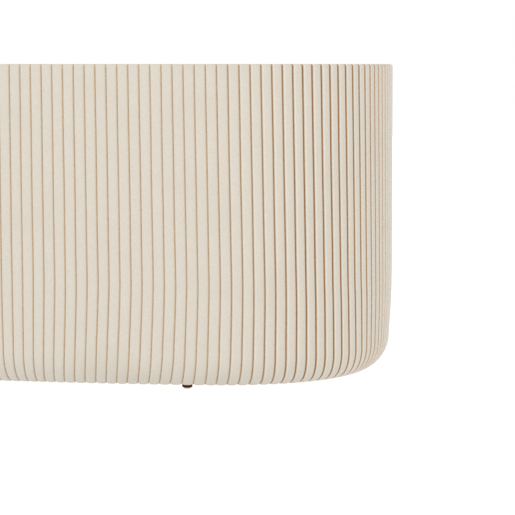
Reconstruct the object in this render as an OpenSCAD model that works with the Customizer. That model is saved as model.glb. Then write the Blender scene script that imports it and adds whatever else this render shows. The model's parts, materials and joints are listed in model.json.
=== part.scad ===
// Oval upholstered pouffe: a wooden frame under foam, dressed in wide-wale cord cloth.
// Units are millimetres. +Z is up, +X runs along the length and -Y is the front.
// The origin is on the floor, under the middle of the pouffe.

/* [Body] */
// Length of the pouffe, end to end
body_length = 800; // [740:10:860]
// Depth of the pouffe, front to back
body_depth = 516; // [496:4:536]
// Height from the floor to the top edge and to the middle of the seat
body_height = 440; // [410:10:490]
// Radius of the long front and back faces, seen from above
front_radius = 1800; // [1400:50:2200]
// Radius of the four corners, seen from above
corner_radius = 230; // [200:5:245]
// Radius of the two ends, seen from above
end_radius = 300; // [285:5:340]
// Radius with which the bottom edge turns under
base_round = 54; // [46:2:66]
// Rise of the middle of the seat above the seam round it
crown_rise = 6; // [4:1:10]

/* [Upholstery] */
// Thickness of the cord cloth, ribs included
cloth_thick = 3; // [2:0.5:4]
// Thickness of the polyester wadding under the cloth
wadding_thick = 6; // [4:1:8]
// Thickness of the foam round the sides
side_foam_thick = 20; // [14:1:24]
// Thickness of the foam under the seat
seat_foam_thick = 60; // [40:5:80]
// Width of the side cloth that folds over the top edge
top_fold_width = 6; // [5:0.5:8]
// Radius of the piping in the seam round the seat
welt_radius = 4; // [3:0.5:4.5]
// Width of the hem that lies flat under the base
hem_width = 32; // [28:2:40]

/* [Frame] */
// Thickness of the plywood base board
base_board_thick = 18; // [12:1:21]
// Thickness of the plywood ring under the seat
ring_thick = 15; // [12:1:18]
// Width of the ring and of the upright formers
ring_width = 60; // [50:2:64]
// Thickness of each plywood former
former_thick = 18; // [12:1:21]
// Thickness of the hardboard skin round the formers
panel_thick = 3; // [2:0.5:4]
// Width of each webbing strip
webbing_width = 50; // [40:5:55]
// Spacing of the webbing strips
webbing_pitch = 70; // [66:1:72]

/* [Glides] */
// Height of each nail-on glide
glide_height = 6; // [4:0.5:8]
// Radius of each glide
glide_radius = 7; // [6:0.5:9]
// Distance of the front and back glides from the middle, along the length
glide_spread = 153; // [120:1:165]

/* [Hidden] */
$fn = 180;

// Clear space between a soft layer and its neighbour
soft_gap = 0.3;

// Extra depth with which one shape cuts right through another
cut = 1;

// Fineness of the shapes that are swept or domed
arc_steps = 12;
turn_steps = 6;
welt_steps = 10;
dome_arc_steps = 8;
dome_rings = 7;

// Plan: an oval of eight arcs that meet smoothly, each with its own centre.
half_length = body_length / 2;
half_depth = body_depth / 2;
front_centre = [0, front_radius - half_depth];
end_centre = [half_length - end_radius, 0];
front_reach = front_radius - corner_radius;
end_reach = end_radius - corner_radius;
centre_gap = norm(end_centre - front_centre);
centre_way = (end_centre - front_centre) / centre_gap;
along_gap = (pow(front_reach, 2) - pow(end_reach, 2) + pow(centre_gap, 2)) / (2 * centre_gap);
off_gap = sqrt(pow(front_reach, 2) - pow(along_gap, 2));
corner_centre = front_centre + along_gap * centre_way + off_gap * [-centre_way[1], centre_way[0]];

// Directions of the outward normal, from the front face, at which one arc hands over to the next
front_end = atan2(corner_centre[0], front_centre[1] - corner_centre[1]);
corner_end = atan2(corner_centre[0] - end_centre[0], -corner_centre[1]);

// Each arc: centre x, centre y, radius, first and last direction of its normal
ARCS = [
    [0, front_centre[1], front_radius, -front_end, front_end],
    [corner_centre[0], corner_centre[1], corner_radius, front_end, corner_end],
    [end_centre[0], 0, end_radius, corner_end, 180 - corner_end],
    [corner_centre[0], -corner_centre[1], corner_radius, 180 - corner_end, 180 - front_end],
    [0, -front_centre[1], front_radius, 180 - front_end, 180 + front_end],
    [-corner_centre[0], -corner_centre[1], corner_radius, 180 + front_end, 180 + corner_end],
    [-end_centre[0], 0, end_radius, 180 + corner_end, 360 - corner_end],
    [-corner_centre[0], corner_centre[1], corner_radius, 360 - corner_end, 360 - front_end]
];

// Layers, as distances inwards from the outer face of the cloth
wadding_in = cloth_thick + soft_gap;
foam_in = wadding_in + wadding_thick + soft_gap;
panel_in = foam_in + side_foam_thick + soft_gap;
former_in = panel_in + panel_thick + soft_gap;
ring_in = former_in + ring_width;
welt_in = top_fold_width + welt_radius;
seat_in = welt_in + welt_radius + soft_gap;

// Heights
hem_z = glide_height;
board_z = hem_z + cloth_thick;
board_top = board_z + base_board_thick;
turn_z = hem_z + base_round;
welt_drop = 1;
welt_z = body_height - welt_drop - welt_radius;
top_cloth_z = body_height - crown_rise - cloth_thick;
seat_wadding_thick = wadding_thick + 2;
seat_wadding_z = top_cloth_z - seat_wadding_thick;
seat_foam_z = seat_wadding_z - seat_foam_thick;
felt_thick = 4;
webbing_thick = 1.5;
felt_z = seat_foam_z - felt_thick;
cross_webbing_z = felt_z - webbing_thick;
ring_top = cross_webbing_z - webbing_thick;
ring_z = ring_top - ring_thick;

// Base
board_in = base_round + soft_gap;
dust_cloth_thick = 0.8;
dust_cloth_in = base_round + 19;
dust_staple_in = dust_cloth_in + 3;
dust_staple_pitch = 60;
hem_end = base_round + hem_width;
hem_staple_in = hem_end - 4;
hem_staple_pitch = 30;
glide_in = base_round + 10;
glide_bevel = 3;
glide_bevel_height = 0.4 * glide_height;

// Upright formers, four to each quarter turn of the plan
QUARTER_ANGLES = [2.9, 26.5, 72.1];
FORMER_ANGLES = concat(
    QUARTER_ANGLES,
    [for (t = QUARTER_ANGLES) 180 - t],
    [for (t = QUARTER_ANGLES) 180 + t],
    [for (t = QUARTER_ANGLES) 360 - t]
);
foot_start = base_round + 4;
foot_end = base_round + 56;
foot_thick = 24;
foot_slope_top = board_top + 84;
block_end = foot_end - 4;
block_leg = 22;
block_length = 40;

// Fasteners
screw_radius = 2;
screw_head_radius = 4;
screw_head_depth = 2.5;
screw_length = 45;
screw_spread = 26;
base_screw_in = base_round + 16;
ring_screw_in = former_in + 16;
staple_crown = 10;
staple_wire = 0.8;
staple_flat = 0.5;
staple_leg = 8;
panel_staple_pitch = 60;
panel_staple_first = 100;
panel_staple_last = ring_z - 20;
nail_radius = 1.1;
nail_length = 20;
nail_start = 1.5;

// Webbing strips
LONG_ROWS = [-1.5, -0.5, 0.5, 1.5];
CROSS_ROWS = [-4, -3, -2, -1, 0, 1, 2, 3, 4];
webbing_end_in = former_in + 20;
webbing_staple_in = webbing_end_in + 10;
webbing_staple_step = webbing_width / 3;

// Glides: name, x and y of each centre
glide_front = outline_y(glide_spread, glide_in);
GLIDES = [
    ["front_right", glide_spread, -glide_front],
    ["front_left", -glide_spread, -glide_front],
    ["back_right", glide_spread, glide_front],
    ["back_left", -glide_spread, glide_front],
    ["end_right", half_length - glide_in, 0],
    ["end_left", glide_in - half_length, 0]
];

CORD = [0.88, 0.85, 0.79];
DARK_CORD = [0.80, 0.76, 0.69];
PLYWOOD = [0.80, 0.66, 0.46];
STEEL = [0.70, 0.70, 0.72];
FOAM = [0.93, 0.90, 0.78];
WADDING = [0.96, 0.96, 0.95];

// Direction of the normal at one step along an arc
function arc_angle(arc, share) = arc[3] + (arc[4] - arc[3]) * share;

// A normal direction brought into the range that ARCS covers
function wrapped(t) = t < 360 - front_end ? t : t - 360;

// The arc that holds a normal direction
function arc_of(t) = [for (arc = ARCS) if (wrapped(t) >= arc[3] && wrapped(t) < arc[4]) arc][0];

// Point of the plan at a normal direction, moved inwards by inset
function plan_point(arc, t, inset) =
    [arc[0] + (arc[2] - inset) * sin(t), arc[1] - (arc[2] - inset) * cos(t)];

// The whole plan as a ring of points, moved inwards by inset
function outline(inset, steps = arc_steps) =
    [for (arc = ARCS) for (i = [0 : steps - 1]) plan_point(arc, arc_angle(arc, i / steps), inset)];

// Half the depth of the plan at a distance x from the middle
function outline_y(x, inset) =
    abs(x) < (front_radius - inset) * sin(front_end)
    ? sqrt(pow(front_radius - inset, 2) - x * x) - front_centre[1]
    : sqrt(pow(corner_radius - inset, 2) - pow(abs(x) - corner_centre[0], 2)) - corner_centre[1];

// Half the length of the plan at a distance y from the middle
function outline_x(y, inset) =
    abs(y) < (end_radius - inset) * cos(corner_end)
    ? sqrt(pow(end_radius - inset, 2) - y * y) + end_centre[0]
    : sqrt(pow(corner_radius - inset, 2) - pow(abs(y) + corner_centre[1], 2)) + corner_centre[0];

// The quarter turn under the bottom edge, as [inset, height] points from the side to the underside
function turn(radius) =
    [for (k = [0 : turn_steps]) let (a = 90 * k / turn_steps)
        [base_round - radius * cos(a), turn_z - radius * sin(a)]];

// A list in the opposite order
function reversed(list) = [for (i = [len(list) - 1 : -1 : 0]) list[i]];

// Two triangles between point i and i + 1 of two neighbouring rings
function quad(low, high, i, count) =
    let (j = (i + 1) % count)
    [[low + i, high + i, high + j], [low + i, high + j, low + j]];

// Sweeps a closed profile of [inset, height] points round the plan
module swept(profile) {
    count = arc_steps * len(ARCS);
    last = len(profile);
    points = [for (p = profile) for (q = outline(p[0])) [q[0], q[1], p[1]]];
    faces = [for (k = [0 : last - 1]) for (i = [0 : count - 1])
        each quad(k * count, (k + 1) % last * count, i, count)];
    polyhedron(points, faces);
}

// Stands a piece at a normal direction, with -Y outwards and X along the outline
module stand_at(t, inset) {
    arc = arc_of(t);
    point = plan_point(arc, t, inset);
    translate([point[0], point[1], 0])
        rotate([0, 0, t])
            children();
}

// Repeats a piece round the plan at about the given spacing
module along(inset, pitch) {
    for (arc = ARCS) {
        count = ceil((arc[2] - inset) * (arc[4] - arc[3]) * PI / 180 / pitch);
        for (i = [0.5 : 1 : count - 0.5])
            stand_at(arc_angle(arc, i / count), inset)
                children();
    }
}

// Flat oval board
module plate(inset, low, thick) {
    translate([0, 0, low])
        linear_extrude(thick)
            polygon(outline(inset));
}

// Upright oval wall
module wall(inset, thick, low, high) {
    difference() {
        plate(inset, low, high - low);
        plate(inset + thick, low - cut, high - low + 2 * cut);
    }
}

// Domed oval sheet: the middle of its upper face stands crown_rise above its rim
module dome(inset, low, thick, flat_below = false) {
    rim = outline(inset, dome_arc_steps);
    count = len(rim);
    half = dome_rings * count;
    shares = [for (k = [0 : dome_rings - 1]) 1 - k / dome_rings];
    under_rise = flat_below ? 0 : crown_rise;
    top = [for (s = shares) for (p = rim) [p[0] * s, p[1] * s, low + thick + crown_rise * (1 - s * s)]];
    under = [for (s = shares) for (p = rim) [p[0] * s, p[1] * s, low + under_rise * (1 - s * s)]];
    peaks = [[0, 0, low + thick + crown_rise], [0, 0, low + under_rise]];
    tops = [for (k = [0 : dome_rings - 2]) for (i = [0 : count - 1])
        each quad(k * count, (k + 1) * count, i, count)];
    fan = [for (i = [0 : count - 1])
        [half - count + i, 2 * half, half - count + (i + 1) % count]];
    unders = [for (face = tops) [half + face[0], half + face[2], half + face[1]]];
    under_fan = [for (face = fan) [half + face[0], half + face[2], 2 * half + 1]];
    edge = [for (i = [0 : count - 1]) each quad(half, 0, i, count)];
    polyhedron(concat(top, under, peaks), concat(tops, fan, unders, under_fan, edge));
}

// Countersunk wood screw, its head at the origin and its point along +Z
module wood_screw() {
    cylinder(h = screw_head_depth, r1 = screw_head_radius, r2 = screw_radius);
    cylinder(h = screw_length, r = screw_radius);
}

// Wire staple, its crown along X on the plane z = 0 and its legs along +Z
module staple() {
    translate([-staple_crown / 2, -staple_wire / 2, -staple_flat])
        cube([staple_crown, staple_wire, staple_flat]);
    for (side = [-1, 1])
        translate([side * (staple_crown - staple_wire) / 2 - staple_wire / 2, -staple_wire / 2, -staple_flat])
            cube([staple_wire, staple_wire, staple_leg]);
}

module base_board() {
    color(PLYWOOD)
        plate(board_in, board_z, base_board_thick);
}

module top_ring() {
    color(PLYWOOD)
        difference() {
            plate(former_in, ring_z, ring_thick);
            plate(ring_in, ring_z - cut, ring_thick + 2 * cut);
        }
}

// One former: an upright board whose outer edge follows the side and the turned-under edge
module former(i) {
    edge = concat(
        [[former_in, ring_z]],
        turn(base_round - former_in),
        [[foot_start, board_top], [foot_end, board_top]],
        [[foot_end, board_top + foot_thick], [ring_in, foot_slope_top], [ring_in, ring_z]]
    );
    color(PLYWOOD)
        stand_at(FORMER_ANGLES[i - 1], 0)
            rotate([90, 0, 90])
                translate([0, 0, -former_thick / 2])
                    linear_extrude(former_thick)
                        polygon(edge);
}

module glue_blocks() {
    color(PLYWOOD)
        for (t = FORMER_ANGLES)
            stand_at(t, block_end)
                for (side = [0, 1])
                    mirror([side, 0, 0])
                        translate([former_thick / 2, 0, board_top])
                            rotate([90, 0, 0])
                                linear_extrude(block_length)
                                    polygon([[0, 0], [block_leg, 0], [0, block_leg]]);
}

module base_screws() {
    color(STEEL)
        for (t = FORMER_ANGLES)
            for (step = [0, 1])
                stand_at(t, base_screw_in + step * screw_spread)
                    translate([0, 0, board_z])
                        wood_screw();
}

module ring_screws() {
    color(STEEL)
        for (t = FORMER_ANGLES)
            for (step = [0, 1])
                stand_at(t, ring_screw_in + step * screw_spread)
                    translate([0, 0, ring_top])
                        rotate([180, 0, 0])
                            wood_screw();
}

module side_panel() {
    color("peru")
        wall(panel_in, panel_thick, turn_z, ring_top);
}

module panel_staples() {
    color(STEEL)
        for (t = FORMER_ANGLES)
            for (z = [panel_staple_first : panel_staple_pitch : panel_staple_last])
                stand_at(t, panel_in)
                    translate([0, 0, z])
                        rotate([-90, 0, 0])
                            rotate([0, 0, 90])
                                staple();
}

module webbing_long(i) {
    row = LONG_ROWS[i - 1];
    color("saddlebrown")
        intersection() {
            plate(webbing_end_in, ring_top, webbing_thick);
            translate([-half_length, row * webbing_pitch - webbing_width / 2, ring_top - cut])
                cube([body_length, webbing_width, webbing_thick + 2 * cut]);
        }
}

module webbing_cross(i) {
    row = CROSS_ROWS[i - 1];
    color("sienna")
        intersection() {
            plate(webbing_end_in, cross_webbing_z, webbing_thick);
            translate([row * webbing_pitch - webbing_width / 2, -half_depth, cross_webbing_z - cut])
                cube([webbing_width, body_depth, webbing_thick + 2 * cut]);
        }
}

module webbing_staples() {
    color(STEEL) {
        for (row = LONG_ROWS)
            for (end = [-1, 1])
                for (k = [-1, 0, 1]) {
                    y = row * webbing_pitch + k * webbing_staple_step;
                    translate([end * outline_x(y, webbing_staple_in), y, cross_webbing_z])
                        rotate([180, 0, 90])
                            staple();
                }
        for (row = CROSS_ROWS)
            for (end = [-1, 1])
                for (k = [-1, 0, 1]) {
                    x = row * webbing_pitch + k * webbing_staple_step;
                    translate([x, end * outline_y(x, webbing_staple_in), felt_z])
                        rotate([180, 0, 0])
                            staple();
                }
    }
}

module felt_pad() {
    color("dimgray")
        plate(former_in, felt_z, felt_thick);
}

module seat_foam() {
    color(FOAM)
        plate(panel_in, seat_foam_z, seat_foam_thick);
}

module seat_wadding() {
    color(WADDING)
        dome(seat_in, seat_wadding_z, seat_wadding_thick - soft_gap, flat_below = true);
}

module side_foam() {
    color(FOAM)
        wall(foam_in, side_foam_thick, turn_z + soft_gap, seat_wadding_z);
}

module base_roll() {
    color(FOAM)
        swept(concat(turn(base_round - foam_in), reversed(turn(base_round - former_in + soft_gap))));
}

// Wadding down the side, its upper end turned inwards over the edge of the foam
module side_wadding() {
    top = welt_z - welt_radius - soft_gap;
    inner = wadding_in + wadding_thick;
    lip_in = seat_in - soft_gap;
    lip_z = seat_wadding_z + soft_gap;
    color(WADDING)
        swept(concat(
            [[wadding_in, top]],
            turn(base_round - wadding_in),
            reversed(turn(base_round - inner)),
            [[inner, lip_z], [lip_in, lip_z], [lip_in, top]]
        ));
}

// Cord cloth from the seam round the seat, over the top edge and down to the hem under the base
module side_cover() {
    fold = [for (a = [90, 45, 0]) cloth_thick * [1 - cos(a), sin(a)]];
    color(CORD)
        swept(concat(
            [[top_fold_width, body_height]],
            [for (p = fold) [p[0], body_height - cloth_thick + p[1]]],
            turn(base_round),
            [[hem_end, hem_z], [hem_end, board_z]],
            reversed(turn(base_round - cloth_thick)),
            [[cloth_thick, body_height - cloth_thick], [top_fold_width, body_height - cloth_thick]]
        ));
}

module top_cover() {
    color(CORD)
        dome(seat_in, top_cloth_z, cloth_thick);
}

module welt() {
    color(DARK_CORD)
        swept([for (k = [0 : welt_steps - 1]) let (a = 360 * k / welt_steps)
            [welt_in - welt_radius * cos(a), welt_z - welt_radius * sin(a)]]);
}

module hem_staples() {
    color(STEEL)
        along(hem_staple_in, hem_staple_pitch)
            translate([0, 0, hem_z + staple_flat])
                staple();
}

module dust_cover() {
    color("#26241f")
        plate(dust_cloth_in, hem_z - dust_cloth_thick, dust_cloth_thick);
}

module dust_staples() {
    color(STEEL)
        along(dust_staple_in, dust_staple_pitch)
            translate([0, 0, hem_z - dust_cloth_thick])
                staple();
}

module glide(i) {
    color("#2a201a")
        translate([GLIDES[i][1], GLIDES[i][2], 0])
            rotate_extrude()
                polygon([
                    [0, 0], [glide_radius - glide_bevel, 0], [glide_radius, glide_bevel_height],
                    [glide_radius, glide_height], [0, glide_height]
                ]);
}

module glide_nails() {
    color(STEEL)
        for (place = GLIDES)
            translate([place[1], place[2], nail_start])
                cylinder(h = nail_length, r = nail_radius);
}

base_board();
top_ring();
for (i = [1 : len(FORMER_ANGLES)])
    former(i);
glue_blocks();
base_screws();
ring_screws();
side_panel();
panel_staples();
for (i = [1 : len(LONG_ROWS)])
    webbing_long(i);
for (i = [1 : len(CROSS_ROWS)])
    webbing_cross(i);
webbing_staples();
felt_pad();
seat_foam();
seat_wadding();
side_foam();
base_roll();
side_wadding();
side_cover();
top_cover();
welt();
hem_staples();
dust_cover();
dust_staples();
for (i = [0 : len(GLIDES) - 1])
    glide(i);
glide_nails();
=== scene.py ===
"""The looks of an oval pouffe in wide-wale cord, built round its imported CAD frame, in metres."""
import json
import math

import bpy
import numpy as np
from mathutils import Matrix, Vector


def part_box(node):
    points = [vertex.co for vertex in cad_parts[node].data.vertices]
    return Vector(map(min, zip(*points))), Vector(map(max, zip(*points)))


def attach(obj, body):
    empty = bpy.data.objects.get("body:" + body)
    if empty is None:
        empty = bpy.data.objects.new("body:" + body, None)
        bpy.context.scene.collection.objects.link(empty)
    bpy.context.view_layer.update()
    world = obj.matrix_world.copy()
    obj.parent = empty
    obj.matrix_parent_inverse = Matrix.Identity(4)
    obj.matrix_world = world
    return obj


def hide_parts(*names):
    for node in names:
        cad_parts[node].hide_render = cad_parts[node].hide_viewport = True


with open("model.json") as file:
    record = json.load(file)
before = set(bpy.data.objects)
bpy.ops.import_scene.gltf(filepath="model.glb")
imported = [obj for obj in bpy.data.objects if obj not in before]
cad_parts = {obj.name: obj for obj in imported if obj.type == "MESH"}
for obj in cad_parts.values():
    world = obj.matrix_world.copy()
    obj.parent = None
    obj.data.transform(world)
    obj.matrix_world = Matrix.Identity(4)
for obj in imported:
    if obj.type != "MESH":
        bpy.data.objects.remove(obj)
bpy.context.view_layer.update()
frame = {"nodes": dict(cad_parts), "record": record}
nodes = frame["nodes"]
rng = np.random.default_rng(41)
MM = 0.001
ANGLE_SLACK = 1e-6

# ---------------------------------------------------------------- driving sizes

cover_low, cover_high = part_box("side_cover")
HALF_LENGTH = cover_high.x
HALF_DEPTH = cover_high.y
FRONT_RADIUS = 1.8
CORNER_RADIUS = 0.23
END_RADIUS = 0.30

CLOTH = 3 * MM
RIB_COUNT = 148
RIB_RELIEF = 3.4 * MM
SHIFT = 1.1 * MM  # the ribs stand this much wider apart on the front than round the ends
CREST_OUT = 1.0 * MM  # the crests of the ribs stand this far outside the plain shell of the frame
CLOTH_BACK = 3.2 * MM  # the back of the side cloth lies this far inside that shell
FIRST_GROOVE = -74.6 * MM  # arc length of one groove from the middle of the front
END_SHADE = 0.25  # how much painted shade, laid as ground colour, goes on the tight curve of the ends

HEM_Z = cover_low.z
COVER_TOP = cover_high.z
TOP_FOLD = 6 * MM  # the side cloth folds over the top edge by this much
FOLD_RADIUS = 3.4 * MM
TOP_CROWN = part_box("top_cover")[1].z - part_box("top_cover")[0].z - CLOTH
BOTTOM_RADIUS = 50 * MM  # the cloth turns under the base
TAPER = 3 * MM  # the side leans in by this much above the turn
TAPER_HEIGHT = 100 * MM
HEM_WIDTH = 32 * MM
FRAME_ROUND = 54 * MM  # the same turn as drawn for the frame, a little larger than the cloth's own
PANEL = 3 * MM
SOFT_GAP = 0.3 * MM

# ---------------------------------------------------------------- the plan


class Oval:
    """The plan: eight arcs that meet smoothly. Arc length starts at the middle of the front."""

    def __init__(self, half_length, half_depth):
        self.front = np.array([0.0, FRONT_RADIUS - half_depth])
        self.end = np.array([half_length - END_RADIUS, 0.0])
        gap = self.end - self.front
        distance = np.hypot(*gap)
        way = gap / distance
        front_reach = FRONT_RADIUS - CORNER_RADIUS
        end_reach = END_RADIUS - CORNER_RADIUS
        along = (front_reach**2 - end_reach**2 + distance**2) / (2 * distance)
        off = math.sqrt(front_reach**2 - along**2)
        self.corner = self.front + along * way + off * np.array([-way[1], way[0]])
        self.front_turn = math.atan2(self.corner[0], self.front[1] - self.corner[1])
        self.corner_turn = math.atan2(self.corner[0] - self.end[0], -self.corner[1])
        self.front_arc = FRONT_RADIUS * self.front_turn
        self.corner_arc = CORNER_RADIUS * (self.corner_turn - self.front_turn)
        end_arc = END_RADIUS * (math.pi / 2 - self.corner_turn)
        self.quarter = self.front_arc + self.corner_arc + end_arc
        self.length = 4 * self.quarter

    def point(self, s, inset=0.0):
        """(x, y, outward x, outward y) at arc length s, moved in by inset. Takes arrays."""
        s = (np.asarray(s, float) + self.length / 2) % self.length - self.length / 2
        side = np.where(s < 0, -1.0, 1.0)
        u = np.abs(s)
        back = u > self.quarter
        u = np.where(back, 2 * self.quarter - u, u)
        on_front = u < self.front_arc
        on_corner = ~on_front & (u < self.front_arc + self.corner_arc)
        turn = np.where(
            on_front,
            u / FRONT_RADIUS,
            np.where(
                on_corner,
                self.front_turn + (u - self.front_arc) / CORNER_RADIUS,
                self.corner_turn + (u - self.front_arc - self.corner_arc) / END_RADIUS,
            ),
        )
        centre = np.where(
            on_front[..., None], self.front, np.where(on_corner[..., None], self.corner, self.end)
        )
        radius = np.where(on_front, FRONT_RADIUS, np.where(on_corner, CORNER_RADIUS, END_RADIUS))
        out_x = np.sin(turn)
        out_y = -np.cos(turn)
        x = (centre[..., 0] + (radius - inset) * out_x) * side
        y = centre[..., 1] + (radius - inset) * out_y
        flip = np.where(back, -1.0, 1.0)
        return x, y * flip, out_x * side, out_y * flip

    def half_width(self, x, inset):
        """Half the depth of the plan at x, moved inwards by inset."""
        x = np.abs(np.asarray(x, float))
        front_y = np.sqrt(np.maximum((FRONT_RADIUS - inset) ** 2 - x**2, 0)) - self.front[1]
        corner_x = x - self.corner[0]
        corner_y = np.sqrt(np.maximum((CORNER_RADIUS - inset) ** 2 - corner_x**2, 0))
        corner_y -= self.corner[1]
        end_y = np.sqrt(np.maximum((END_RADIUS - inset) ** 2 - (x - self.end[0]) ** 2, 0))
        on_front = x < (FRONT_RADIUS - inset) * math.sin(self.front_turn)
        on_corner = x < self.corner[0] + (CORNER_RADIUS - inset) * math.sin(self.corner_turn)
        return np.where(on_front, front_y, np.where(on_corner, corner_y, end_y))

    def depth(self, x, y):
        """How far inside the outline a point is."""
        x = np.abs(np.asarray(x, float))
        y = -np.abs(np.asarray(y, float))
        found = np.full(np.broadcast(x, y).shape, HALF_DEPTH)
        arcs = (
            (self.front, FRONT_RADIUS, 0.0, self.front_turn),
            (self.corner, CORNER_RADIUS, self.front_turn, self.corner_turn),
            (self.end, END_RADIUS, self.corner_turn, math.pi / 2),
        )
        for centre, radius, first, last in arcs:
            dx = x - centre[0]
            dy = y - centre[1]
            turn = np.arctan2(dx, -dy)
            inside = (turn >= first - ANGLE_SLACK) & (turn <= last + ANGLE_SLACK)
            found = np.where(inside, np.minimum(found, radius - np.hypot(dx, dy)), found)
        return found


plan = Oval(HALF_LENGTH, HALF_DEPTH)


def stations_round(count):
    """Evenly spaced arc lengths all the way round the plan."""
    return np.arange(count) * plan.length / count


# ---------------------------------------------------------------- mesh helpers


def smoothstep(low, high, value):
    """0 below low, 1 above high, smooth between."""
    t = np.clip((np.asarray(value, float) - low) / (high - low), 0, 1)
    return t * t * (3 - 2 * t)


def add_piece(name, points, faces, slot, replaced):
    """A smooth mesh piece in its slot's finish that rides on the body and stands for a CAD node."""
    mesh = bpy.data.meshes.new(name)
    mesh.from_pydata([tuple(map(float, p)) for p in points], [], faces)
    mesh.validate()
    mesh.polygons.foreach_set("use_smooth", [True] * len(mesh.polygons))
    mesh.materials.append(FINISHES[slot])
    piece = bpy.data.objects.new(name, mesh)
    bpy.context.scene.collection.objects.link(piece)
    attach(piece, "root")
    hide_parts(replaced)
    return piece


def set_attribute(piece, name, values):
    """A number for each vertex, which the material reads."""
    layer = piece.data.attributes.new(name, "FLOAT", "POINT")
    layer.data.foreach_set("value", np.asarray(values, float).ravel())


def grid_faces(rows, columns, closed_columns, first=0, flip=False):
    """Quads between the points of a grid stored row by row."""
    faces = []
    last = columns if closed_columns else columns - 1
    for r in range(rows - 1):
        for c in range(last):
            n = (c + 1) % columns
            quad = (
                first + r * columns + c,
                first + r * columns + n,
                first + (r + 1) * columns + n,
                first + (r + 1) * columns + c,
            )
            faces.append(quad[::-1] if flip else quad)
    return faces


def tube_faces(rings, stations):
    """Quads of rings round the plan, with the last ring joined to the first."""
    faces = grid_faces(rings, stations, True)
    last = (rings - 1) * stations
    for c in range(stations):
        n = (c + 1) % stations
        faces.append((last + c, last + n, n, c))
    return faces


SWEEP_STATIONS = 288
WOBBLE = 0.1 * MM  # the soft layers inside are uneven by this much
WOBBLE_RATE = 40.0


def swept(profile):
    """Points and faces of a closed profile of (inset, z) pairs swept round the plan."""
    s = stations_round(SWEEP_STATIONS)
    rows = []
    for k, (inset, z) in enumerate(profile):
        drift = WOBBLE * np.sin(WOBBLE_RATE * s + 1.7 * k)
        drift = drift * np.sin(0.37 * WOBBLE_RATE * s + 0.6 * k)
        x, y, _, _ = plan.point(s, inset + drift)
        rows.append(np.stack([x, y, np.full_like(x, z)], axis=1))
    return np.concatenate(rows), tube_faces(len(profile), SWEEP_STATIONS)


# ---------------------------------------------------------------- materials


def new_material(name):
    """(material, its node tree, its shader)"""
    material = bpy.data.materials.new(name)
    material.use_nodes = True
    tree = material.node_tree
    return material, tree, tree.nodes["Principled BSDF"]


def node(tree, kind, inputs=None, **settings):
    """A node with some settings and some fixed or linked inputs."""
    made = tree.nodes.new(kind)
    for key, value in settings.items():
        setattr(made, key, value)
    for key, value in (inputs or {}).items():
        socket = made.inputs[key]
        if isinstance(value, bpy.types.NodeSocket):
            tree.links.new(value, socket)
        else:
            socket.default_value = value
    return made


def noise(tree, scale, stretch=(1, 1, 1), detail=3.0, roughness=0.55):
    """Noise in the piece's own space. stretch multiplies the scale along each axis."""
    place = node(tree, "ShaderNodeTexCoord").outputs["Object"]
    mapped = node(tree, "ShaderNodeMapping", {"Vector": place, "Scale": stretch}).outputs[0]
    return node(
        tree,
        "ShaderNodeTexNoise",
        {"Vector": mapped, "Scale": scale, "Detail": detail, "Roughness": roughness},
    ).outputs["Fac"]


def ramp(tree, value, low, high, low_out=0.0, high_out=1.0):
    """value mapped from low..high to low_out..high_out, clamped."""
    return node(
        tree,
        "ShaderNodeMapRange",
        {"Value": value, "From Min": low, "From Max": high, "To Min": low_out, "To Max": high_out},
    ).outputs[0]


def mix(tree, share, first, second):
    """Two colours mixed by a share."""
    mixer = node(tree, "ShaderNodeMix", data_type="RGBA")
    for key, value in ((0, share), (6, first), (7, second)):
        socket = mixer.inputs[key]
        if isinstance(value, bpy.types.NodeSocket):
            tree.links.new(value, socket)
        else:
            socket.default_value = value
    return mixer.outputs[2]


def bump(tree, shader, height, strength, distance):
    """Gives the shader a bump from a height."""
    inputs = {"Height": height, "Strength": strength, "Distance": distance}
    tree.links.new(node(tree, "ShaderNodeBump", inputs).outputs[0], shader.inputs["Normal"])


def maths(tree, operation, *values):
    """One math operation on numbers and sockets."""
    return node(tree, "ShaderNodeMath", dict(enumerate(values)), operation=operation).outputs[0]


def grey(level):
    """An opaque grey."""
    return (level, level, level, 1.0)


def tinted(colour, factors):
    """An opaque colour, multiplied channel by channel."""
    return (*[c * f for c, f in zip(colour, factors)], 1)


RIDGE = (0.546, 0.510, 0.450)
GROOVE = (0.465, 0.365, 0.262)
DEEP = (0.32, 0.18, 0.08)
WEAR_AND_SHADE = (0.90, 0.885, 0.86)  # painted highlight on a rib's lit shoulder, as a share of the ridge's colour
LIT = (1.10, 1.15, 1.2)  # pile that leans to the light


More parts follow.
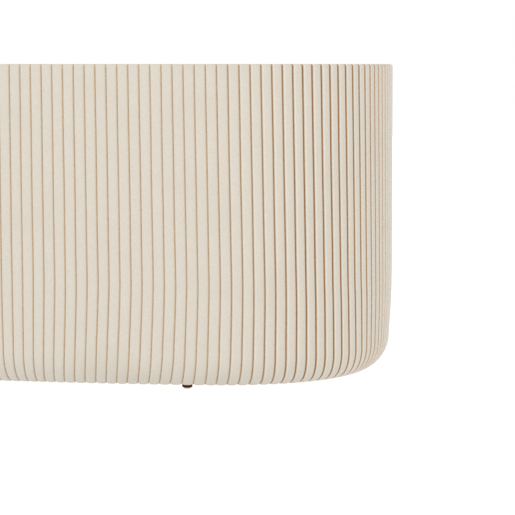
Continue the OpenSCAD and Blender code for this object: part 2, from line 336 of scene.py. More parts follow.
def cord_material():
    """Short-pile cord: pale pile on the ribs and a warm brown ground in the grooves.

    Two attributes, a number for each vertex, say where the ground and painted shade show, and where
    a painted highlight and painted shade lie on the shoulders of the ribs."""
    material, tree, shader = new_material("cord")
    fibre = noise(tree, 1500, (1, 1, 0.5), 2.0, 0.6)
    tuft = noise(tree, 450, (1, 1, 0.7), 2.0, 0.5)
    smudge = noise(tree, 11, (1, 1, 1.6), 3.0, 0.5)
    wear_and_shade = tinted(RIDGE, WEAR_AND_SHADE)
    pile = mix(tree, ramp(tree, fibre, 0.3, 0.7, 0.5, 0.0), (*RIDGE, 1), wear_and_shade)
    pile = mix(tree, ramp(tree, tuft, 0.35, 0.7, 0.0, 0.7), pile, wear_and_shade)
    pile = mix(tree, ramp(tree, smudge, 0.54, 0.72, 0.0, 0.5), pile, wear_and_shade)
    painted_light = node(tree, "ShaderNodeAttribute", attribute_name="painted_light").outputs["Fac"]
    # painted highlight on the lit shoulder of each rib
    pile = mix(tree, ramp(tree, painted_light, 0.0, 1.0), pile, tinted(RIDGE, LIT))
    # painted shade on the shaded shoulder of each rib
    pile = mix(tree, ramp(tree, painted_light, 0.0, -1.0, 0.0, 0.35), pile, wear_and_shade)
    dip = node(tree, "ShaderNodeAttribute", attribute_name="dip").outputs["Fac"]
    ragged = maths(tree, "MULTIPLY_ADD", maths(tree, "ADD", tuft, -0.5), 0.3, dip)
    colour = mix(tree, ramp(tree, ragged, 0.2, 0.5), pile, (*GROOVE, 1))
    colour = mix(tree, ramp(tree, ragged, 0.5, 0.95), colour, (*DEEP, 1))
    tree.links.new(colour, shader.inputs["Base Color"])
    shader.inputs["Roughness"].default_value = 0.92
    shader.inputs["Specular IOR Level"].default_value = 0.18
    shader.inputs["Sheen Weight"].default_value = 0.2
    shader.inputs["Sheen Roughness"].default_value = 0.45
    bump(tree, shader, maths(tree, "ADD", fibre, tuft), 0.35, 0.35 * MM)
    return material


PLAIN_DETAIL = 4.0
ROUGHNESS_SPREAD = 0.06


def plain_material(name, dark, light, scale, stretch, roughness, bump_mm=0.2, metallic=0.0):
    """A finish whose colour and relief follow one noise."""
    material, tree, shader = new_material(name)
    grain = noise(tree, scale, stretch, PLAIN_DETAIL)
    colour = mix(tree, ramp(tree, grain, 0.3, 0.7), (*dark, 1), (*light, 1))
    tree.links.new(colour, shader.inputs["Base Color"])
    smooth, rough = roughness - ROUGHNESS_SPREAD, roughness + ROUGHNESS_SPREAD
    tree.links.new(ramp(tree, grain, 0.2, 0.8, smooth, rough), shader.inputs["Roughness"])
    shader.inputs["Metallic"].default_value = metallic
    bump(tree, shader, grain, 0.4, bump_mm * MM)
    return material


def woven_material(name, warp, weft, pitch):
    """A plain weave: two crossing sets of threads, with a pair of threads to each pitch."""
    material, tree, shader = new_material(name)
    place = node(tree, "ShaderNodeTexCoord").outputs["Object"]
    waves = []
    for axis in ("X", "Y"):
        wave = node(
            tree,
            "ShaderNodeTexWave",
            {"Vector": place, "Scale": 0.5 / pitch, "Distortion": 0.4, "Detail": 1.0},
            bands_direction=axis,
        )
        waves.append(wave.outputs["Fac"])
    fibre = noise(tree, 900, (1, 1, 1), 2.0)
    colour = mix(tree, ramp(tree, waves[0], 0.3, 0.7), (*warp, 1), (*weft, 1))
    shadow = tinted(warp, (0.7, 0.7, 0.7))
    colour = mix(tree, ramp(tree, fibre, 0.35, 0.7, 0.0, 0.3), colour, shadow)
    tree.links.new(colour, shader.inputs["Base Color"])
    shader.inputs["Roughness"].default_value = 0.85
    bump(tree, shader, maths(tree, "MULTIPLY", *waves), 0.6, 0.4 * MM)
    return material


def plywood_material():
    """Birch plywood: long grain on the faces, thin glued layers on the edges."""
    material, tree, shader = new_material("plywood")
    place = node(tree, "ShaderNodeTexCoord").outputs["Object"]
    grain = noise(tree, 26, (0.25, 3.0, 1.0), 6.0, 0.6)
    pores = noise(tree, 420, (0.12, 1.0, 1.0), 3.0)
    face = mix(tree, ramp(tree, grain, 0.35, 0.65), (0.56, 0.40, 0.23, 1), (0.72, 0.56, 0.36, 1))
    face = mix(tree, ramp(tree, pores, 0.5, 0.8, 0.0, 0.4), face, (0.40, 0.27, 0.15, 1))
    layers = node(
        tree,
        "ShaderNodeTexWave",
        {"Vector": place, "Scale": 110.0, "Distortion": 0.6, "Detail": 1.0},
        bands_direction="Z",
    ).outputs["Fac"]
    edge = mix(tree, ramp(tree, layers, 0.35, 0.65), (0.36, 0.24, 0.13, 1), (0.70, 0.54, 0.34, 1))
    normal = node(tree, "ShaderNodeNewGeometry").outputs["Normal"]
    upward = node(tree, "ShaderNodeSeparateXYZ", {0: normal}).outputs["Z"]
    flat = maths(tree, "ABSOLUTE", upward)
    colour = mix(tree, ramp(tree, flat, 0.4, 0.6), edge, face)
    tree.links.new(colour, shader.inputs["Base Color"])
    shader.inputs["Roughness"].default_value = 0.68
    bump(tree, shader, pores, 0.3, 0.15 * MM)
    return material


def glide_material():
    """Dark brown plastic glide with a tan sole."""
    material, tree, shader = new_material("glide_plastic")
    place = node(tree, "ShaderNodeTexCoord").outputs["Object"]
    height = node(tree, "ShaderNodeSeparateXYZ", {0: place}).outputs["Z"]
    grain = noise(tree, 1600, (1, 1, 1), 3.0)
    body = mix(tree, grain, (0.024, 0.012, 0.006, 1), (0.044, 0.022, 0.012, 1))
    sole = mix(tree, grain, (0.36, 0.19, 0.09, 1), (0.48, 0.26, 0.13, 1))
    colour = mix(tree, ramp(tree, height, 1.4 * MM, 1.8 * MM), sole, body)
    tree.links.new(colour, shader.inputs["Base Color"])
    shader.inputs["Roughness"].default_value = 0.7
    shader.inputs["Specular IOR Level"].default_value = 0.1
    bump(tree, shader, grain, 0.3, 0.05 * MM)
    return material


EVEN = (1, 1, 1)
FINISHES = {
    "plywood": plywood_material(),
    "hardboard": plain_material(
        "hardboard", (0.20, 0.115, 0.06), (0.31, 0.19, 0.105), 240, EVEN, 0.6
    ),
    "steel": plain_material(
        "zinc_steel", (0.50, 0.50, 0.51), (0.72, 0.72, 0.72), 900, (1, 1, 0.2), 0.38, 0.05, 1.0
    ),
    "webbing": woven_material("webbing", (0.20, 0.12, 0.06), (0.36, 0.24, 0.13), 1.6 * MM),
    "felt": plain_material(
        "felt", (0.16, 0.155, 0.15), (0.36, 0.35, 0.34), 700, (1, 1, 0.4), 0.95, 0.5
    ),
    "foam": plain_material(
        "foam", (0.70, 0.62, 0.42), (0.86, 0.79, 0.60), 900, EVEN, 0.93, 0.5
    ),
    "wadding": plain_material(
        "wadding", (0.78, 0.78, 0.76), (0.93, 0.93, 0.92), 260, EVEN, 0.95, 0.8
    ),
    "dust_cloth": plain_material(
        "dust_cloth", (0.012, 0.011, 0.010), (0.045, 0.042, 0.038), 1100, EVEN, 0.9, 0.25
    ),
    "glide_plastic": glide_material(),
    "cord_cloth": cord_material(),
}

# ---------------------------------------------------------------- ribbed side cover

RIB_PITCH = plan.length / RIB_COUNT
HALF_RIB = [0.0, 0.018, 0.04, 0.07, 0.11, 0.17, 0.25, 0.36, 0.5]
RIB_STEPS = HALF_RIB + [1 - step for step in HALF_RIB[-2:0:-1]]
INNER_STEPS = (0, len(RIB_STEPS) // 2)
RIB_SQUARE = 2.8  # higher for a flatter crest
RIB_DOME = 0.55  # higher for a rounder shoulder
WANDER = (0.03, 0.10)  # least and most that one wave shifts a groove, in millimetres
WANDER_RATES = (9, 23, 37)  # of those waves, in radians for each metre of height
PLUMP = 0.06  # single ribs are fuller or thinner by up to this share
FLAT_RELIEF = 0.72  # share of the relief where the ribs lie close together
FOLD_FLATTENS = 0.75  # share of the relief that the fold over the top edge takes away
SEAM_RELIEF = 0.6  # share of the relief and the ground that is left at the seam
CREST_FADES = (60 * MM, 130 * MM)  # the crests keep to the plain shell below this height
DRAWN_APART = (150 * MM, 410 * MM)  # from the middle: where the ribs start and finish to open
END_ZONE = (360 * MM, 480 * MM)  # the same for the painted shade at the ends
END_TURNS = 0.3  # the share by which that painted shade grows at the ends where the cloth turns under
UNDER_SHADE = 0.3  # painted shade under the base, laid as ground colour where the cloth turns under
UNDER_ZONE = (0.75, 0.98)  # how far the cloth faces down where that starts and finishes
# Along a rib's width, from 0 at its left groove to 1 at its right one
GROUND_LEFT = (0.015, 0.075)  # the groove's ground fades out between these
GROUND_LEFT_OPENS = 0.11  # and this much further on where the ribs are drawn apart
GROUND_RIGHT = (0.05, 0.19)  # the same, measured from the right groove; wider, as painted shade on the rib's shaded shoulder
GROUND_SHOWN = 0.55  # how much ground shows where the ribs lie close, and again where drawn apart
LIT_MIDDLE = 0.12  # the lit shoulder
LIT_MOVES = 0.06
LIT_WIDTH = 0.055
LIT_FLAT = 0.3  # its strength where the ribs lie close together
SHADED = (0.4, 1)  # the shaded shoulder starts and finishes here

LEAN_TOP = 438 * MM
LEAN = 0.0140
LEAN_SWING = 0.0125
LEAN_PLACE = 130 * MM
GATHER = -130 * MM  # arc length at which the hem is drawn together on the front
SWAY_TOP = 150 * MM
SWAY_LOW = 50 * MM
SWAY_POWER = 1.4
EASE_START = 0.8  # the sway eases out from this share of its height on
EASE_LENGTH = 0.42
TUCK_INSET = 15.3 * MM  # the table's tuck is reached where the turn has gone this far in
TUCK_LIMIT = 3.4
# Arc length from the gather to the middle of the end, then how far each rib sways above the turn
# and how far it is tucked sideways in the turn, all in millimetres. The rows from 54 to 560 follow
# a scratch program's fit to the photo's grooves, smoothed by hand; the others are guesses.
DRIFT = (
    (0, 0.0, 0.0),
    (40, -0.5, -1.4),
    (54, -1.0, -1.9),
    (84, -2.8, -3.0),
    (99, -3.6, -4.2),
    (129, -4.7, -4.8),
    (188, -5.8, -4.8),
    (232, -5.8, -5.2),
    (277, -5.2, -5.4),
    (307, -4.7, -4.7),
    (336, -3.7, -3.5),
    (366, -2.6, -1.4),
    (396, -1.4, 1.4),
    (425, -0.1, 3.4),
    (455, 1.2, 5.8),
    (485, 3.0, 8.0),
    (515, 4.8, 10.4),
    (560, 7.8, 12.6),
    (620, 5.6, 9.0),
    (678, 0.0, 0.0),
)


def rib_height(step):
    """Relief of one rib across its width, from 0 in the groove to 1 on its crest."""
    return (1 - abs(2 * step - 1) ** RIB_SQUARE) ** RIB_DOME


def rib_dip(step, drawn):
    """How much ground and painted shade show across a rib, more where the ribs are drawn apart."""
    left = 1 - smoothstep(GROUND_LEFT[0], GROUND_LEFT[1] + GROUND_LEFT_OPENS * drawn, step)
    right = 1 - smoothstep(*GROUND_RIGHT, 1 - step)
    return np.where(step > 0.5, right, left) * (GROUND_SHOWN + GROUND_SHOWN * drawn)


def rib_painted_light(step, drawn):
    """Painted highlight (1) on a rib's lit shoulder and painted shade (-1) on its other one."""
    light = np.exp(-(((step - LIT_MIDDLE - LIT_MOVES * drawn) / LIT_WIDTH) ** 2))
    return light * (LIT_FLAT + (1 - LIT_FLAT) * drawn) - smoothstep(*SHADED, step)


def from_middle(s):
    """Distance along the outline to the middle of the front or the back, whichever is nearer."""
    u = np.abs((np.asarray(s, float) + plan.length / 2) % plan.length - plan.length / 2)
    return np.minimum(u, 2 * plan.quarter - u)


def openness(s):
    """0 along the flat front and back, 1 round the ends, where the ribs are drawn apart."""
    return smoothstep(*DRAWN_APART, from_middle(s))


def hem_drift(s):
    """How far each rib moves along the outline: its sway above the turn and its tuck in it."""
    s = (np.asarray(s, float) + plan.length / 2) % plan.length - plan.length / 2
    sign = np.ones_like(s)
    over = np.abs(s) > plan.quarter
    s = np.where(over, np.sign(s) * 2 * plan.quarter - s, s)
    sign = np.where(over, -sign, sign)
    left = s < GATHER
    stretch = (plan.quarter - GATHER) / (plan.quarter + GATHER)
    away = np.where(left, (GATHER - s) * stretch, s - GATHER)
    sign = np.where(left, -sign, sign)
    place, sway, tuck = np.array(DRIFT).T * MM
    return sign * np.interp(away, place, sway), sign * np.interp(away, place, tuck)


def sway_share(z):
    """Share of a rib's sway at a height: it grows on the way down and eases out in the turn."""
    t = min(max((SWAY_TOP - z) / (SWAY_TOP - SWAY_LOW), 0), EASE_START + EASE_LENGTH)
    over = max(t - EASE_START, 0)
    slope = SWAY_POWER * EASE_START ** (SWAY_POWER - 1)
    return min(t, EASE_START) ** SWAY_POWER + slope * (over - over**2 / (2 * EASE_LENGTH))


def tuck_share(inset):
    """Share of a rib's tuck where the turn has gone in by inset, levelling off under the base."""
    return TUCK_LIMIT * math.tanh(max(inset - TAPER, 0) / TUCK_INSET / TUCK_LIMIT)


def lean(s):
    """How far a rib moves along the outline for each metre that it comes down."""
    return LEAN + LEAN_SWING * np.sin((s - LEAN_PLACE) * math.tau / plan.length)


def taper(z):
    """How far the side leans in at a height above the turn."""
    share = np.clip((HEM_Z + BOTTOM_RADIUS + TAPER_HEIGHT - z) / TAPER_HEIGHT, 0, 1)
    return TAPER * float(share) ** 2


def side_profile():
    """Rows of (inset, z, outward share, upward share) from the top fold to under the base."""
    turn_z = HEM_Z + BOTTOM_RADIUS
    taper_z = turn_z + TAPER_HEIGHT
    rows = []
    for inset in np.linspace(TOP_FOLD, FOLD_RADIUS, 3):
        rows.append((inset, COVER_TOP, 0.0, 1.0))
    for angle in np.radians([68, 45, 22]):
        out, up = math.cos(angle), math.sin(angle)
        rows.append((FOLD_RADIUS * (1 - out), COVER_TOP - FOLD_RADIUS * (1 - up), out, up))
    for z in np.linspace(COVER_TOP - FOLD_RADIUS, taper_z, 27):
        rows.append((0.0, z, 1.0, 0.0))
    for z in np.linspace(taper_z, turn_z, 12)[1:]:
        rows.append((taper(z), z, 1.0, 0.0))
    for angle in np.radians(np.linspace(0, 90, 19)[1:]):
        inset = TAPER + BOTTOM_RADIUS * (1 - math.cos(angle))
        z = turn_z - BOTTOM_RADIUS * math.sin(angle)
        rows.append((inset, z, math.cos(angle), -math.sin(angle)))
    for reach in np.linspace(0, HEM_WIDTH, 6)[1:]:
        rows.append((TAPER + BOTTOM_RADIUS + reach, HEM_Z, 0.0, -1.0))
    return rows


def build_side_cover():
    """The ribbed side cloth, a closed shell from the welt to the end of the hem."""
    profile = side_profile()
    steps = len(RIB_STEPS)
    columns = RIB_COUNT * steps
    across = np.tile(RIB_STEPS, RIB_COUNT)
    rib = np.repeat(np.arange(RIB_COUNT), steps)
    relief = np.tile([rib_height(step) for step in RIB_STEPS], RIB_COUNT)
    rest_s = FIRST_GROOVE + (rib + across) * RIB_PITCH
    phase = rng.uniform(0, math.tau, (3, RIB_COUNT + 1))
    size = rng.uniform(*WANDER, (3, RIB_COUNT + 1)) * MM
    plump = rng.uniform(-PLUMP, PLUMP, RIB_COUNT)
    phase[:, -1] = phase[:, 0]
    size[:, -1] = size[:, 0]
    outer, inner, dips = [], [], []
    sway, tuck = hem_drift(rest_s)
    drawn = openness(rest_s)
    dip = rib_dip(across, drawn)
    # painted highlight on each rib's lit shoulder, painted shade on its other one
    painted_light = rib_painted_light(across, drawn)
    depth = FLAT_RELIEF + (1 - FLAT_RELIEF) * drawn
    # painted shade round the ends
    ground = END_SHADE * smoothstep(*END_ZONE, from_middle(rest_s))
    keep = np.isin(np.arange(columns) % steps, INNER_STEPS)
    rest_s = rest_s + SHIFT * np.sin(math.pi * rest_s / plan.quarter)
    for inset, z, out, up in profile:
        waves = [size[k] * np.sin(z * rate + phase[k]) for k, rate in enumerate(WANDER_RATES)]
        wander = sum(waves)
        wander = wander[rib] * (1 - across) + wander[rib + 1] * across
        swayed = sway_share(z)
        tucked = tuck_share(inset) if z < HEM_Z + BOTTOM_RADIUS else 0.0
        s = rest_s + wander + lean(rest_s) * (LEAN_TOP - z) + sway * swayed + tuck * tucked
        seam = SEAM_RELIEF if inset == profile[0][0] and z == COVER_TOP else 1.0
        flat = 1 - FOLD_FLATTENS * max(up, 0.0)
        full = RIB_RELIEF * seam * flat * depth * (1 + plump[rib])
        crest = CREST_OUT * float(smoothstep(*CREST_FADES, z))
        full = np.minimum(full, CLOTH_BACK - SOFT_GAP + crest * out)
        drop = full * (1 - relief)
        x, y, _, _ = plan.point(s, inset + (drop - crest) * out)
        outer.append(np.stack([x, y, z - drop * up], axis=1))
        # painted shade where the cloth faces down under the base
        under = UNDER_SHADE * float(smoothstep(*UNDER_ZONE, -up))
        # painted shade round the ends, more where the cloth turns under
        at_end = ground * (1 - END_TURNS * min(up, 0.0))
        dips.append(np.maximum(dip * seam, np.maximum(under, at_end)))
        x, y, _, _ = plan.point(s[keep], inset + CLOTH_BACK * out)
        inner.append(np.stack([x, y, np.full_like(x, z - CLOTH_BACK * up)], axis=1))
    rows = len(profile)
    inner_columns = inner[0].shape[0]
    start = rows * columns
    faces = grid_faces(rows, columns, True, flip=True)
    faces += grid_faces(rows, inner_columns, True, first=start)
    half = steps // 2
    for row, flipped in ((0, False), (rows - 1, True)):
        for k in range(inner_columns):
            edge = [row * columns + (k * half + j) % columns for j in range(half + 1)]
            first = start + row * inner_columns
            face = edge + [first + (k + 1) % inner_columns, first + k]
            faces.append(face[::-1] if flipped else face)
    points = np.concatenate(outer + inner)
    piece = add_piece("side_cloth", points, faces, "cord_cloth", "side_cover")
    back = np.zeros(rows * inner_columns)
    set_attribute(piece, "dip", np.concatenate(dips + [back]))
    set_attribute(piece, "painted_light", np.concatenate([np.tile(painted_light, rows), back]))


# ---------------------------------------------------------------- top cover and welt

SEAT_DRAWN = 0.3  # the ribs of the seat are drawn apart a little
SEAT_RELIEF = 2.4 * MM
SEAT_CURVE = 2.4  # higher for a flatter middle
SEAT_ROLL = 3.0 * MM  # the edge rolls down by this much
SEAT_ROLL_WIDTH = 5 * MM
SEAT_FADE = 6 * MM  # the relief and the ground fade out over this much of the edge
SEAT_EDGE = 0.3  # to this share
END_HEIGHT = 0.6  # relief and ground of the cloth's two ends
END_TINT = 0.3
END_CLEAR = 0.6 * MM  # no rib comes nearer than this to those ends
END_GAPS = (0.3 * MM, 0.02 * MM)  # where the last columns of points stand, from the ends
SEAT_ROWS = 45
WELT_SIDES = 16
WELT_TURNS = 104  # turns of the bias strip's grooves round the piping
WELT_STEPS = 12
WELT_FULL = 1.05  # the piping is this many times as thick as the frame's
WELT_RELIEF = 0.9 * MM
WELT_SQUARE = 3.5


def seat_rise(inside, depth):
    """How far the seat is crowned at inside from its edge, where depth is its middle's."""
    return TOP_CROWN * (1 - (1 - np.clip(inside / depth, 0, 1)) ** SEAT_CURVE)


def build_top_cover():
    """The ribbed seat cloth: ribs from front to back, domed, its edge rolled down to the welt."""
    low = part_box("top_cover")[0]
    edge = -low.y
    inset = HALF_DEPTH - edge
    reach = HALF_LENGTH - inset
    rim_z = low.z + CLOTH
    count = 2 * int(reach / RIB_PITCH) + 1
    grooves = (np.arange(-(count // 2) - 1, count // 2 + 2) - 0.5) * RIB_PITCH
    xs, heights, tints = [], [], []
    for groove in grooves:
        for step in RIB_STEPS:
            x = groove + step * RIB_PITCH
            if abs(x) < reach - END_CLEAR:
                xs.append(x)
                heights.append(rib_height(step))
                tints.append(float(rib_dip(step, SEAT_DRAWN)))
    ends = [reach - gap for gap in END_GAPS]
    xs = np.array([-e for e in ends[::-1]] + xs + ends)
    heights = np.array([END_HEIGHT] * 2 + heights + [END_HEIGHT] * 2)
    tints = np.array([END_TINT] * 2 + tints + [END_TINT] * 2)
    shares = np.sin(np.radians(np.linspace(-90, 90, SEAT_ROWS)))
    half = plan.half_width(xs, inset)
    upper, lower, dips = [], [], []
    for share in shares:
        y = share * half
        inside = np.clip(plan.depth(xs, y) - inset, 0, None)
        rise = seat_rise(inside, edge)
        near = np.clip(inside / SEAT_ROLL_WIDTH, 0, 1)
        roll = SEAT_ROLL * (1 - np.sqrt(np.clip(1 - (1 - near) ** 2, 0, 1)))
        shown = SEAT_EDGE + (1 - SEAT_EDGE) * smoothstep(0, SEAT_FADE, inside)
        drop = SEAT_RELIEF * (1 - heights) * shown
        upper.append(np.stack([xs, y, rim_z + rise - roll - drop], axis=1))
        lower.append(np.stack([xs, y, rim_z + rise - roll - CLOTH], axis=1))
        dips.append(tints * shown)
    rows, columns = len(shares), len(xs)
    start = rows * columns
    faces = grid_faces(rows, columns, False)
    faces += grid_faces(rows, columns, False, first=start, flip=True)
    for c in range(columns - 1):
        last = (rows - 1) * columns
        faces.append((c + 1, c, start + c, start + c + 1))
        faces.append((last + c, last + c + 1, start + last + c + 1, start + last + c))
    for r in range(rows - 1):
        here, there = r * columns, (r + 1) * columns
        faces.append((here, there, start + there, start + here))
        here, there = here + columns - 1, there + columns - 1
        faces.append((there, here, start + here, start + there))
    points = np.concatenate(upper + lower)
    piece = add_piece("seat_cloth", points, faces, "cord_cloth", "top_cover")
    set_attribute(piece, "dip", np.concatenate(dips + [np.zeros(start)]))


def build_welt():
    """Piping round the seat's edge in a bias strip of the cord, whose grooves wind round it."""
    low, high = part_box("welt")
    radius = (high.z - low.z) / 2 * WELT_FULL
    middle_z = (high.z + low.z) / 2
    middle_in = HALF_LENGTH - high.x + (high.z - low.z) / 2
    stations = WELT_TURNS * WELT_STEPS
    s = stations_round(stations)
    points, dips = [], []
    for k in range(WELT_SIDES):
        angle = math.tau * k / WELT_SIDES
        step = (s / plan.length * WELT_TURNS + k / WELT_SIDES) % 1.0
        relief = (1 - np.abs(2 * step - 1) ** WELT_SQUARE) ** 0.5
        swell = radius - WELT_RELIEF * (1 - relief)
        x, y, _, _ = plan.point(s, middle_in - swell * math.cos(angle))
        points.append(np.stack([x, y, middle_z + swell * math.sin(angle)], axis=1))
        dips.append(1 - relief)
    faces = tube_faces(WELT_SIDES, stations)
    piece = add_piece("welt_piping", np.concatenate(points), faces, "cord_cloth", "welt")
    set_attribute(piece, "dip", np.concatenate(dips))


# ---------------------------------------------------------------- underside


STAPLE_PITCH = 60 * MM
DUST_STATIONS = 360
DUST_RINGS = (0.0, 1.5, 4.0, 8.0, 11.0, 12.0, 16.0, 26.0, 45.0, 75.0, 110.0)  # mm from the edge
DUST_FOLD_WIDTH = 11.5  # the edge is folded back over this width, in millimetres
DUST_FOLD = 0.5 * MM
DUST_SAG = 0.9 * MM
DUST_PUCKER = 1.6 * MM
DUST_PUCKER_REACH = 9.0  # the puckers die out over this, in millimetres
DUST_CREASE = 0.25 * MM
DUST_CREASE_REACH = 20.0
DUST_CREASE_RATE = 210
DUST_GAP = 0.05 * MM  # between the cloth and the hem above it


def build_dust_cover():
    """Black non-woven cloth under the base: folded edge, puckers between staples, slight sag."""
    low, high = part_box("dust_cover")
    inset = HALF_DEPTH - high.y
    stations = DUST_STATIONS
    s = stations_round(stations)
    top = high.z - DUST_GAP
    upper, lower = [], []
    for d in DUST_RINGS:
        gap = np.abs(np.sin(math.pi * s / STAPLE_PITCH))
        pucker = DUST_PUCKER * gap * math.exp(-d / DUST_PUCKER_REACH)
        x, y, _, _ = plan.point(s, inset + d * MM + pucker)
        fold = DUST_FOLD if d < DUST_FOLD_WIDTH else 0.0
        sag = DUST_SAG * float(smoothstep(DUST_RINGS[5], DUST_RINGS[-1], d))
        crease = DUST_CREASE * np.sin(s * DUST_CREASE_RATE + d) * math.exp(-d / DUST_CREASE_REACH)
        upper.append(np.stack([x, y, np.full_like(x, top)], axis=1))
        lower.append(np.stack([x, y, low.z - fold - sag + crease], axis=1))
    rows = len(DUST_RINGS)
    start = rows * stations
    middle = 2 * start
    points = np.concatenate(upper + lower + [[[0, 0, top], [0, 0, low.z - DUST_SAG]]])
    faces = grid_faces(rows, stations, True)
    faces += grid_faces(rows, stations, True, first=start, flip=True)
    last = (rows - 1) * stations
    for c in range(stations):
        n = (c + 1) % stations
        faces.append((last + c, last + n, middle))
        faces.append((start + last + n, start + last + c, middle + 1))
        faces.append((n, c, start + c, start + n))
    piece = add_piece("dust_sheet", points, faces, "dust_cloth", "dust_cover")


# ---------------------------------------------------------------- soft layers inside


def rounded_band(inset, thick, low, high, edge):
    """Profile of an upright band of foam or wadding with softened edges."""
    profile = []
    corners = (
        (inset + edge, high - edge, 90, 0),
        (inset + edge, low + edge, 0, -90),
        (inset + thick - edge, low + edge, -90, -180),
        (inset + thick - edge, high - edge, 180, 90),
    )
    for middle_in, middle_z, first, last in corners:
        for angle in np.radians(np.linspace(first, last, 5)):
            profile.append((middle_in - edge * math.cos(angle), middle_z + edge * math.sin(angle)))
    return profile


def quarter_turn(middle_in, middle_z, radius, steps=9):
    """Points from the side down and round to the underside."""
    return [
        (middle_in - radius * math.cos(angle), middle_z - radius * math.sin(angle))
        for angle in np.radians(np.linspace(0, 90, steps))
    ]


def roll_profile(outer, inner):
    """Profile of the foam roll that rounds the bottom edge of the frame."""
    outside = quarter_turn(FRAME_ROUND, HEM_Z + FRAME_ROUND, FRAME_ROUND - outer)
    inside = quarter_turn(FRAME_ROUND, HEM_Z + FRAME_ROUND, FRAME_ROUND - inner)
    return outside + inside[::-1]


def batting_profile(gap, foam_in, high, lip_in, lip_z):
    """Profile of the wadding: it lines the cloth from a lip under the seat to the underside."""
    turn_z = HEM_Z + BOTTOM_RADIUS
    inner = foam_in - SOFT_GAP
    side = np.linspace(high - 30 * MM, turn_z + TAPER_HEIGHT, 6)
    leaning = np.linspace(turn_z + TAPER_HEIGHT, turn_z, 8)[1:-1]
    heights = np.concatenate([[high - 1 * MM], side, leaning])
    profile = [(lip_in, high), (gap + 1 * MM, high)]
    profile += [(gap + taper(z), z) for z in heights]
    profile += quarter_turn(TAPER + BOTTOM_RADIUS, turn_z, BOTTOM_RADIUS - gap)
    profile += quarter_turn(FRAME_ROUND, HEM_Z + FRAME_ROUND, FRAME_ROUND - inner)[::-1]
    profile += [(inner, z) for z in (turn_z + TAPER_HEIGHT, (turn_z + high) / 2, lip_z)]
    return profile + [(lip_in, lip_z)]


def build_layers():
    """Foam and wadding inside the cover."""
    low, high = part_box("side_foam")
    wadding_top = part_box("side_wadding")[1].z
    foam_in = HALF_DEPTH - high.y
    wadding_in = CLOTH_BACK + SOFT_GAP
    panel_in = HALF_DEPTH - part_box("side_panel")[1].y
    foam_thick = panel_in - foam_in - SOFT_GAP
    roll_in = HALF_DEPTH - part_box("base_roll")[1].y
    lip_in = HALF_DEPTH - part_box("top_cover")[1].y - SOFT_GAP
    lip_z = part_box("seat_wadding")[0].z + SOFT_GAP
    batting = batting_profile(wadding_in, foam_in, wadding_top, lip_in, lip_z)
    roll = roll_profile(roll_in, panel_in + PANEL + SOFT_GAP)
    padding = rounded_band(foam_in, foam_thick, low.z, high.z, 3 * MM)
    layers = (
        ("side_padding", padding, "foam", "side_foam"),
        ("base_edge_roll", roll, "foam", "base_roll"),
        ("side_batting", batting, "wadding", "side_wadding"),
    )
    for name, profile, slot, replaced in layers:
        piece = add_piece(name, *swept(profile), slot, replaced)


SLAB_STATIONS = 240
SLAB_SHARES = (0.06, 0.14, 0.26, 0.42, 0.6)  # where the rings of its top lie, from edge to middle
SLAB_REACH = 0.2  # no ring is further in than this, in metres
SLAB_EDGE_SHARE = 0.45  # the most of its thickness that one rounded edge takes
DIMPLE_RATE = 90


def build_slab(name, replaced, slot, crown, edge, dimple):
    """A flat or crowned oval slab with rounded edges."""
    low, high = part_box(replaced)
    inset = HALF_DEPTH - high.y
    stations = SLAB_STATIONS
    s = stations_round(stations)
    top = high.z - crown - SOFT_GAP / 2
    drop = min(edge, SLAB_EDGE_SHARE * (top - low.z))
    turns = [(1 - math.cos(a), 1 - math.sin(a)) for a in np.radians([90, 60, 30, 0])]
    rings = [(edge * across, low.z + drop * down) for across, down in turns]
    rings += [(edge * across, top - drop * down) for across, down in turns[::-1]]
    depth = HALF_DEPTH - inset
    for share in SLAB_SHARES:
        inside = edge + share * depth
        rings.append((inside, top + (float(seat_rise(inside, depth)) if crown else 0.0)))
    rows = []
    for d, z in rings:
        x, y, _, _ = plan.point(s, inset + min(d, SLAB_REACH))
        ripple = dimple * np.sin(x * DIMPLE_RATE) * np.sin(y * DIMPLE_RATE)
        fallen = np.abs(ripple) if d > 2 * edge else 0.0
        rows.append(np.stack([x, y, np.full_like(x, z) - fallen], axis=1))
    points = np.concatenate(rows + [[[0, 0, low.z], [0, 0, top + crown]]])
    faces = grid_faces(len(rings), stations, True)
    last = (len(rings) - 1) * stations
    middle = len(rings) * stations
    for c in range(stations):
        n = (c + 1) % stations
        faces.append((n, c, middle))
        faces.append((last + c, last + n, middle + 1))
    piece = add_piece(name, points, faces, slot, replaced)


WEAVE_RISE = 0.8 * MM  # at a crossing; too little to clear the other strap
WEAVE_WIDTH = 24 * MM
STRAP_POINTS = 97
STRAP_END = 2 * MM  # the straps stop this far inside the frame's
STRAP_THINNER = 0.3 * MM
# One strap's cross section, as shares of half its width and half its thickness
STRAP_TOP = [(-1, 1), (-0.5, 1), (0, 1), (0.5, 1), (1, 1)]
STRAP_SECTION = [(-1, -1), *STRAP_TOP, (1, -1), (0.5, -1), (0, -1), (-0.5, -1)]


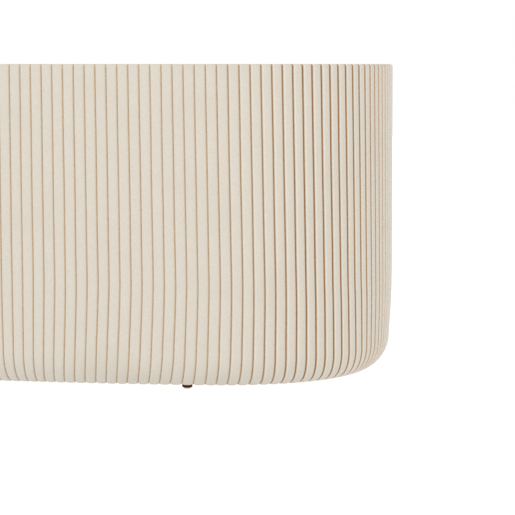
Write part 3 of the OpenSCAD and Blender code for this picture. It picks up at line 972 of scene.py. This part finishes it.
def build_webbing():
    """Elastic webbing under the seat, in a shallow weave."""
    long_names = sorted(n for n in nodes if n.startswith("webbing_long_"))
    cross_names = sorted(n for n in nodes if n.startswith("webbing_cross_"))
    middles = {n: [(a + b) / 2 for a, b in zip(*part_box(n))] for n in long_names + cross_names}
    for axis, names, others in ((0, long_names, cross_names), (1, cross_names, long_names)):
        for k, name in enumerate(names):
            low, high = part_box(name)
            along = np.linspace(low[axis] + STRAP_END, high[axis] - STRAP_END, STRAP_POINTS)
            lift = np.zeros_like(along)
            for j, other in enumerate(others):
                over = 1 if (j + k + axis) % 2 == 0 else -1
                near = np.exp(-(((along - middles[other][axis]) / WEAVE_WIDTH) ** 4))
                lift += over * WEAVE_RISE * near
            middle_z = (low.z + high.z) / 2
            thick = high.z - low.z - STRAP_THINNER
            width = high[1 - axis] - low[1 - axis]
            points = []
            for side, up in STRAP_SECTION:
                across = middles[name][1 - axis] + side * width / 2
                z = middle_z + lift + up * thick / 2
                pair = (along, np.full_like(along, across))
                points.append(np.stack([pair[axis], pair[1 - axis], z], axis=1))
            rows, columns = len(STRAP_SECTION), STRAP_POINTS
            faces = grid_faces(rows, columns, False, flip=axis == 1)
            last = (rows - 1) * columns
            for c in range(columns - 1):
                face = (last + c, last + c + 1, c + 1, c)
                faces.append(face[::-1] if axis == 1 else face)
            ring = [r * columns for r in range(rows)]
            far = [r * columns + columns - 1 for r in range(rows)]
            faces.append(ring if axis == 0 else ring[::-1])
            faces.append(far[::-1] if axis == 0 else far)
            strap = name.replace("webbing", "strap")
            piece = add_piece(strap, np.concatenate(points), faces, "webbing", name)


build_side_cover()
build_top_cover()
build_welt()
build_dust_cover()
build_layers()
build_slab("seat_padding", "seat_foam", "foam", 0.0, 4 * MM, 0.3 * MM)
build_slab("seat_batting", "seat_wadding", "wadding", TOP_CROWN, 6 * MM, 0.4 * MM)
build_slab("felt_layer", "felt_pad", "felt", 0.0, 1.5 * MM, 0.2 * MM)
build_webbing()

# ---------------------------------------------------------------- finishes on the CAD nodes

SLOT_OF = {row["node"]: row["material_slot"] for row in frame["record"]["subparts"]}
for name, piece in nodes.items():
    piece.data.materials.clear()
    piece.data.materials.append(FINISHES[SLOT_OF[name]])

# ---------------------------------------------------------------- floor, light and camera


FLOOR_REACH = 12.0


def build_floor():
    """A plain pale floor, bright enough to read as a white studio sweep."""
    mesh = bpy.data.meshes.new("floor")
    far = FLOOR_REACH
    corners = [(-far, -far, 0), (far, -far, 0), (far, far, 0), (-far, far, 0)]
    mesh.from_pydata(corners, [], [(0, 1, 2, 3)])
    floor = bpy.data.objects.new("floor", mesh)
    bpy.context.scene.collection.objects.link(floor)
    material, _, shader = new_material("pale_floor")
    shader.inputs["Base Color"].default_value = grey(0.2)
    shader.inputs["Roughness"].default_value = 0.9
    shader.inputs["Specular IOR Level"].default_value = 0.0
    shader.inputs["Emission Color"].default_value = grey(1.0)
    shader.inputs["Emission Strength"].default_value = 1.0
    mesh.materials.append(material)


def build_light():
    """Even studio light with a soft key from the left."""
    world = bpy.data.worlds.new("studio")
    bpy.context.scene.world = world
    world.use_nodes = True
    background = world.node_tree.nodes["Background"]
    background.inputs["Color"].default_value = grey(1.0)
    background.inputs["Strength"].default_value = 1.0
    lamps = (
        ("key", (-1.9, -3.6, 2.2), (0.0, 0.0, 0.2), 2.2, 48.0, (1.0, 1.0, 1.0)),
        ("fill", (3.0, -2.8, 1.8), (0.0, 0.0, 0.2), 2.6, 42.0, (1.0, 0.965, 0.90)),
    )
    for name, place, target, size, power, tint in lamps:
        lamp = bpy.data.lights.new(name, "AREA")
        lamp.size = size
        lamp.energy = power
        lamp.color = tint
        holder = bpy.data.objects.new(name, lamp)
        holder.location = place
        away = np.array(place) - np.array(target)
        away /= np.linalg.norm(away)
        holder.rotation_euler = (math.acos(away[2]), 0, math.atan2(away[0], -away[1]))
        bpy.context.scene.collection.objects.link(holder)


def build_camera():
    """A long lens level with the seat's edge, to the right of the front."""
    azimuth = math.radians(11.84)
    tilt = math.radians(4.304)
    distance = 3.691
    sideways = 0.2068
    height = 0.440
    camera = bpy.data.cameras.new("camera")
    camera.sensor_width = 36.0
    camera.lens = 179.73
    camera.clip_end = 60.0
    holder = bpy.data.objects.new("camera", camera)
    holder.location = (
        math.sin(azimuth) * distance + math.cos(azimuth) * sideways,
        -math.cos(azimuth) * distance + math.sin(azimuth) * sideways,
        height,
    )
    holder.rotation_euler = (math.pi / 2 - tilt, 0, azimuth)
    bpy.context.scene.collection.objects.link(holder)
    bpy.context.scene.camera = holder


build_floor()
build_light()
build_camera()
bpy.context.scene.view_settings.view_transform = "Standard"
